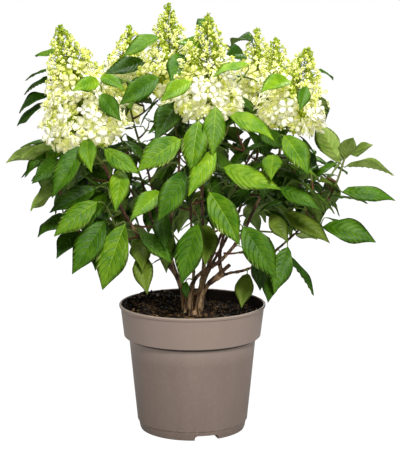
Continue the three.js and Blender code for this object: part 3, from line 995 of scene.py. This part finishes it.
def leafPair(place, way, turn, height, chance, leaves, owner, scale=1.0):
    # two leaves set opposite each other on a shoot
    level = square(np.array((math.cos(turn), math.sin(turn), 0.0)), way)
    for sign in (1, -1):
        out = unit(sign * level + np.array((0, 0, 0.35)) + way * 0.25)
        base = place + out * chance.uniform(*growth["stalk"]) * mm * scale
        flat = unit(np.array((out[0], out[1], 0)) + 1e-6)
        droop = math.radians(-68 + 58 * height + chance.gauss(0, 11))
        leafWay = math.cos(droop) * flat + math.sin(droop) * np.array((0, 0, 1))
        length = chance.uniform(*growth["leaf"]) * mm * scale
        tip = base + leafWay * length
        facing = flat * 0.75 + np.array((chance.gauss(0, 0.12), chance.gauss(0, 0.12), 0.8))
        leaves.append((place, base, tip, facing, owner))


def readMasses(masses):
    # middle and half size of each leaf mass
    corners = [np.array(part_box(name)) for name in masses]
    return [((low + high) / 2, (high - low) / 2) for low, high in corners]


def inPlant(tip, base, bulk):
    low, high = (np.array(corner) for corner in cadBox)
    if np.any(tip < low + 2 * mm) or np.any(tip > high - 2 * mm):
        return False
    nearRim = math.hypot(tip[0], tip[1]) < growth["nearRim"]
    if tip[2] < growth["lowest"] * mm or (nearRim and tip[2] < growth["overRim"]):
        return False
    middle = (tip + base) / 2
    seen = np.array((middle[0], middle[2] + growth["seenFrom"] * middle[1])) / mm       # from a little above
    for at, half in openings:
        if np.all(np.abs((seen - at) / half) < 1.25) and middle[1] < 0.2:
            return False
    reach = growth["spread"]
    return all(min(float(np.sum(((point - at) / (half * far)) ** 2)) for at, half in bulk) < 1
               for point, far in ((middle, reach[0]), (tip, reach[1])))


def spine(base, tip, count=5):
    return np.linspace(base, tip, count + 2)[1:-1]


def keepsClear(base, tip, taken):
    # a leaf neither cuts through the leaves in front nor hides them
    for point in spine(base, tip):
        gap = taken - point
        if np.min(np.linalg.norm(gap, axis=1)) < growth["clear"] * mm:
            return False
        hides = (np.linalg.norm(gap[:, [0, 2]], axis=1) < 1.3 * growth["clear"] * mm) & (gap[:, 1] > 0)
        if np.any(hides):
            return False
    return True


def keepsApart(points, grown):
    # a leaf's midline stays away from the midlines of the leaves grown before it
    if not grown:
        return True
    others = np.concatenate(grown)
    nearest = min(np.linalg.norm(others - point, axis=1).min() for point in points)
    return nearest >= growth["apart"] * mm


def growLeaves(lines, chance):
    leaves = []
    for line, phase, gap, scale, owner in lines:
        reach = np.arange(len(line)) * lineGap
        for k, at in enumerate(np.arange(gap * 0.4, reach[-1], gap)):
            i = min(len(line) - 2, int(at / lineGap))
            place = line[i]
            if place[2] < growth["firstLeaf"] * mm:
                continue
            height = min(1.0, max(0.0, (place[2] - 0.25) / 0.33))
            way = unit(line[i + 1] - line[i])
            turn = phase + k * math.pi / 2 + chance.gauss(0, 0.25)
            leafPair(place, way, turn, height, chance, leaves, owner, scale)
    return leaves


def shadeFor(base, tip, chance):
    # lighter tones for outer and higher leaves, darker ones inside and below: the leaves' own tones, and
    # painted light and shade where the crown shades its inside
    middle = (base + tip) / 2
    outer = math.hypot(middle[0] / 0.27, middle[1] / 0.23)
    light = 0.55 * outer + 1.5 * (middle[2] - 0.42) + chance.gauss(0, 0.16)
    for limit, shade in ((0.12, "dark"), (0.36, "deep"), (0.62, "mid"), (0.95, "fresh")):
        if light < limit:
            return shade
    return "bright"


def makeLeaves(limbs, shoots, masses, finishes):
    chance = random.Random(growth["seed"])
    bulk = readMasses(masses)
    wood = [line for line, _ in limbs.values()] + [line for line, _ in shoots.values()]
    woodPoints = np.concatenate(wood)
    twigs = growTwigs(woodPoints, masses, chance)
    lines = [(np.concatenate([limbs[name][0][:-1], shoots[name][0]]), chance.uniform(0, 3),
              growth["stemGap"], 1.0, -1) for name in shoots]
    lines += [(twig[len(twig) // 3:], chance.uniform(0, 3), growth["twigGap"], 0.95, k)
              for k, twig in enumerate(twigs)]
    leaves = growLeaves(lines, chance)
    for k, twig in enumerate(twigs):
        leafPair(twig[-1], unit(twig[-1] - twig[-3]), chance.uniform(0, 3), 0.8, chance, leaves, k, 0.78)
    placed = [(np.array(foot) * mm, np.array(end) * mm, shade, group) for group in placedLeaves
              for foot, end, shade in placedLeaves[group]]
    taken = np.concatenate([spine(base, tip) for base, tip, *_ in placed])
    sides = {"Front": Heap(), "Rear": Heap()}
    stalks = Heap()
    count = 0
    grown = []
    needed = {}
    for start, base, tip, facing, owner in leaves:
        if not inPlant(tip, base, bulk) or not keepsClear(base, tip, taken):
            continue
        midline = spine(base, tip)
        if not keepsApart(midline, grown):
            continue
        grown.append(midline)
        middle = (base + tip) / 2
        points, slots = layLeaf(base, tip, facing, shadeFor(base, tip, chance), chance, plainBlade)
        sides["Front" if middle[1] < 0.03 else "Rear"].add(points, plainBlade["faces"], slots)
        addStalk(stalks, start, base, unit(tip - base))
        if owner >= 0:
            last = int(np.argmin(np.linalg.norm(twigs[owner] - start, axis=1))) + 1
            needed[owner] = max(needed.get(owner, 2), last)
        count += 1
    print("grown leaves", count)
    twigs = [twigs[owner][:last] for owner, last in needed.items() if last > 2]
    allPoints = np.concatenate([woodPoints] + twigs)
    for base, tip, shade, group in placed:
        facing = np.array((0.0, 0.75, 0.55)) if shade == "pale" else np.array((0.0, -0.85, 0.6))
        if group == "lying":
            facing = np.array((0.0, 0.60, 1.0)) if shade == "pale" else np.array((0.0, -0.60, 1.0))
        elif group == "edgeOn":
            facing = np.cross(unit(tip - base), (0, 1, 0))
            facing = facing * math.copysign(1, facing[2]) + np.array((0, -0.12, 0))
        facing = facing + np.array((chance.gauss(0, 0.22), 0, chance.gauss(0, 0.12)))
        points, slots = layLeaf(base, tip, facing, shade, chance, fineBlade)
        sides["Front"].add(points, fineBlade["faces"], slots)
        near = allPoints[(allPoints[:, 2] < base[2] + 5 * mm) & (allPoints[:, 1] > base[1] - 10 * mm)]
        start = near[np.argmin(np.linalg.norm(near - base, axis=1))]
        addStalk(stalks, start, base, unit(tip - base), 1.1, 0.55)
        count += 1
    materials = [finishes[name] for name in leafSlots]
    for side, heap in sides.items():
        piece = heap.make("leaves" + side, materials)
        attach(piece, "root")
        if side == "Front":
            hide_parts(*masses)
    for name, (line, radius) in shoots.items():
        radii = np.linspace(radius * 0.98, 1.7 * mm, len(line))
        points, faces = tubeMesh(line, radii, 8)
        third = len(line) // 3
        stalks.add(points, faces, [1 if i < third * 8 else 2 for i in range(len(faces))])
    for twig in twigs:
        points, faces = tubeMesh(twig, np.linspace(1.9, 1.1, len(twig)) * mm, 6)
        stalks.add(points, faces, [1 if i < len(faces) // 2 else 2 for i in range(len(faces))])
    materials = [finishes[name] for name in ("stalk", "shootWood", "shootGreen")]
    piece = stalks.make("twigsAndStalks", materials)
    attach(piece, "root")
    print("leaves", count, "twigs", len(twigs))


# flower cones

bloomForm = {
    "seed": 77, "floretsPerArea": 0.0070, "floret": (10.6, 15.0), "cymeArea": 58.0, "cyme": (5.4, 8.2),
    "beads": (11, 16), "bead": (1.4, 2.2), "tiers": 6.5, "rows": 9, "spire": 26,
}
opened = {      # how far up each cone the florets have opened
    "bloom_left": 0.70, "bloom_right": 0.56, "bloom_front": 0.46, "bloom_inner_right": 0.34,
    "bloom_rear_right": 0.26, "bloom_top": 0.26, "bloom_rear_left": 0.24, "bloom_back_left": 0.50,
    "bloom_back": 0.52, "bloom_back_right": 0.46,
}
petalSlots = ["white", "cream", "lime", "bud", "budYoung", "pedicel"]


def sepalTemplate():
    rows = ((0.10, 0.09), (0.42, 0.36), (0.78, 0.44), (1.0, 0.20))
    points = []
    for out, half in rows:
        for c in (-1, 0, 1):
            ahead = 0.05 * (1 - c * c) if out == 1.0 else 0.0
            points.append((out + ahead, c * half, 0.16 * out * out + 0.05 * c * c * out))
    for row in (1, 2):
        out = rows[row][0]
        points.append((out, 0, 0.16 * out * out - 0.05))
    top, low = [], []
    for row in range(3):
        for c in range(2):
            a = 3 * row + c
            face = [a, a + 3, a + 4, a + 1]
            top.append(face[::-1])
            swap = {4: 12, 7: 13}
            low.append([swap.get(corner, corner) for corner in face])
    return np.array(points), top + low


def floretTemplate():
    # four rounded sepals, each a thin closed leaf, round a small bead
    sepal, sepalFaces = sepalTemplate()
    points, faces = [], []
    for k in range(4):
        turn = k * math.pi / 2
        cos, sin = math.cos(turn), math.sin(turn)
        spin = np.array([(cos, -sin, 0), (sin, cos, 0), (0, 0, 1)])
        size = 1.0 if k % 2 else 0.92
        start = len(sepal) * k
        points.append((sepal * np.array((size, size, 1)) + np.array((0, 0, 0.03 * (k % 2)))) @ spin.T)
        faces += [[corner + start for corner in face] for face in sepalFaces]
    points.append(plainBead * 0.11 + np.array((0, 0, 0.06)))
    start = len(sepal) * 4
    faces += [[corner + start for corner in face] for face in plainBeadFaces]
    return np.concatenate(points), faces


plainBead = np.array([(1, 0, 0), (0, 1, 0), (-1, 0, 0), (0, -1, 0), (0, 0, 1), (0, 0, -1)], dtype=float)
plainBeadFaces = [[0, 1, 4], [1, 2, 4], [2, 3, 4], [3, 0, 4], [1, 0, 5], [2, 1, 5], [3, 2, 5], [0, 3, 5]]


def budTemplate():
    bpy.ops.mesh.primitive_ico_sphere_add(subdivisions=1, radius=1)
    ball = bpy.context.object
    points = np.array([vertex.co[:] for vertex in ball.data.vertices])
    faces = [list(polygon.vertices) for polygon in ball.data.polygons]
    bpy.data.objects.remove(ball)
    return points, faces


def coneWidth(t):
    # a broad skirt, then a narrowing cone with a slim spire
    shoulder = min(1.0, 0.50 + 3.2 * t)
    return shoulder * (1 - 0.97 * t ** 1.5)


def layFloret(place, out, axis, size, cup, chance, shape):
    facing = unit(out * 0.9 + axis * 0.5 + anyWay(chance, 0.26))
    a = square(anyWay(chance), facing)
    b = np.cross(facing, a)
    high = (shape[:, 2] + (shape[:, 0] ** 2 + shape[:, 1] ** 2) * cup) * size
    flat = np.outer(shape[:, 0] * size, a) + np.outer(shape[:, 1] * size, b)
    return place + flat + np.outer(high, facing)


def makeBlooms(blooms, finishes):
    form = bloomForm
    chance = random.Random(form["seed"])
    floret, floretFaces = floretTemplate()
    bead, beadFaces = budTemplate()
    heaps = {"florets": Heap()}
    counts = [0, 0]
    for name, (foot, tip, radius) in blooms.items():
        buds = heaps["buds" + name[5:]] = Heap()
        axis = unit(tip - foot)
        length = float(np.linalg.norm(tip - foot))
        east = square(np.array((1.0, 0.1, 0)), axis)
        north = np.cross(axis, east)
        area = 0.55 * math.pi * radius * length / mm / mm
        rachis = np.array([foot + axis * length * t for t in np.linspace(-0.03, 0.98, 12)])
        points, faces = tubeMesh(rachis, np.linspace(2.0, 0.7, 12) * mm, 6)
        buds.add(points, faces, 5)
        phase = chance.uniform(0, 6.28)

        def spot(t, turn, part):
            sway = phase + 0.9 * math.sin(turn * 2 + phase)
            tier = 1 + 0.13 * math.sin(2 * math.pi * form["tiers"] * t + sway)
            out = math.cos(turn) * east + math.sin(turn) * north
            return foot + axis * (length * t) + out * (radius * coneWidth(t) * part * tier), out

        def pedicel(t, out, end, thick):
            start = foot + axis * length * max(0.01, t - 0.09)
            line = bezier(start, start + out * radius * 0.2, end - out * 5 * mm, end, 4)
            points, faces = tubeMesh(line, [thick * mm] * 4, 3)
            buds.add(points, faces, 5)

        share = opened[name]
        openPart = 1 - (1 - share) ** 2
        florets = int(area * form["floretsPerArea"] * openPart * 1.3)
        for k in range(florets):
            t = 1 - math.sqrt(1 - openPart * (k + 0.5) / florets)
            if chance.random() < (t / share) ** 5 * 0.4:
                continue
            t += 0.4 * ((math.floor(t * form["rows"]) + 0.5) / form["rows"] - t)
            turn = k * goldenTurn + chance.gauss(0, 0.2)
            part = chance.uniform(0.72, 1.08) if t > 0.06 else chance.uniform(0.5, 1.04)
            place, out = spot(t + 0.02, turn, part)
            size = chance.uniform(*form["floret"]) * (1.06 - 0.42 * t) * mm
            lean = axis if t > 0.07 else axis * -0.3
            world = layFloret(place, out, lean, size, chance.uniform(-0.14, 0.18), chance, floret)
            young = t / share + chance.gauss(0, 0.22)
            slot = 0 if young < 0.80 else 1 if young < 1.06 else 2
            heaps["florets"].add(world, floretFaces, [slot] * (len(floretFaces) - 8) + [slot + 1] * 8)
            pedicel(t, out, place, 0.5)
            counts[0] += 1

        cymes = int(area / form["cymeArea"] * 1.15)
        for k in range(cymes):
            t = 1 - (1 - (k + 0.5) / cymes) ** 0.62
            inside = t < share * 0.9
            if inside and chance.random() < 0.36:
                continue
            turn = k * goldenTurn + 1.1 + chance.gauss(0, 0.3)
            part = chance.uniform(0.66, 0.94) if inside else chance.uniform(0.84, 1.07)
            place, out = spot(t, turn, part)
            facing = unit(out + axis * 0.6)
            wide = chance.uniform(*form["cyme"]) * (1.0 - 0.56 * t) * mm
            if t > 0.90:
                slots = (4, 3, 3)
            elif t > 0.78:
                slots = (3, 2, 1, 2)
            elif t > 0.60:
                slots = (2, 1, 1, 3)
            else:
                slots = ((1, 1, 2), (1, 0, 2), (1, 2, 3), (1, 0, 0))[k % 4]
            for _ in range(chance.randint(*form["beads"])):
                way = unit(anyWay(chance) + facing * 0.9)
                size = chance.uniform(*form["bead"]) * (1.0 - 0.36 * t) * mm
                points = place + way * wide * chance.uniform(0.55, 1.0) + bead * size
                buds.add(points, beadFaces, chance.choice(slots))
                counts[1] += 1
            pedicel(t, out, place, 0.6)
        inner = cymes * 2 // 3
        for k in range(inner):       # younger buds deep inside
            t = 1 - (1 - (k + 0.5) / inner) ** 0.6
            place, out = spot(min(t, 0.96), k * goldenTurn * 1.3, chance.uniform(0.30, 0.62))
            wide = chance.uniform(*form["cyme"]) * (1.0 - 0.5 * t) * mm
            for _ in range(9):
                way = unit(anyWay(chance))
                size = chance.uniform(2.0, 2.9) * (1.0 - 0.3 * t) * mm
                points = place + way * wide * chance.uniform(0.3, 1.0) + plainBead * size
                buds.add(points, plainBeadFaces, chance.choice((3, 3, 4, 2)))
                counts[1] += 1
        for k in range(form["spire"]):       # the slim spire at the top
            t = 0.93 + 0.065 * k / form["spire"]
            place = foot + axis * length * t
            way = unit(anyWay(chance))
            place = place + way * (3.4 - 2.6 * k / form["spire"]) * mm
            points = place + bead * chance.uniform(1.0, 1.5) * mm
            buds.add(points, beadFaces, chance.choice((3, 4, 4)))
    materials = [finishes[name] for name in petalSlots]
    for name, heap in heaps.items():
        piece = heap.make(name, materials)
        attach(piece, "root")
        if name == "florets":
            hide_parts(*blooms)
    print("florets", counts[0], "buds", counts[1])


# the making

makeCamera()
makeLamps()
makeWorld()
makeFloor()
print("studio ready")

finishes = {name: leafFinish(name, tones) for name, tones in leafTones.items()}
finishes.update({name: leafFinish(name, tones, 0.62) for name, tones in underTones.items()})
finishes.update({name: petalFinish(name, tones) for name, tones in petalTones.items()})
finishes.update({name: leafFinish(name, (tones, tones), 0.5) for name, tones in veinTones.items()})
finishes["pedicel"] = leafFinish("pedicel", ((120, 140, 34), (158, 172, 60)), 0.5)
finishes["stalk"] = leafFinish("stalk", ((126, 150, 70), (146, 164, 84)), 0.5)
finishes["shootGreen"] = leafFinish("shootGreen", ((104, 118, 54), (128, 134, 66)), 0.55)
finishes["shootWood"] = barkFinish("shootWood", (88, 50, 34), (122, 76, 50), (140, 104, 74), 0.3)
bark = barkFinish("peelingBark", (46, 29, 20), (106, 68, 45), (244, 202, 150))
soilTones = [
    soilFinish("peat", (12, 8, 6), (30, 20, 15)),
    soilFinish("barkChip", (34, 22, 15), (66, 43, 29)),
    soilFinish("tanChip", (92, 66, 46), (132, 98, 66)),
    soilFinish("strawFibre", (128, 100, 66), (166, 136, 92)),
]

makePot(potFinish(), soilFinish("stainedAndShadedWall", (30, 23, 19), (52, 42, 36), 60.0))
makeSoilBed(soilTones[0])
makeSoilLitter(soilTones)
print("pot and soil ready")

limbs = growWood()
makeStemWood(limbs, bark)
print("stems ready")

blooms = {name: readBloom(name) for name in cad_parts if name.startswith("bloom_")}
masses = [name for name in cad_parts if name.startswith("leaves_")]
shoots = growShoots(limbs, blooms)
makeLeaves(limbs, shoots, masses, finishes)
makeBlooms(blooms, finishes)
print("crown ready")
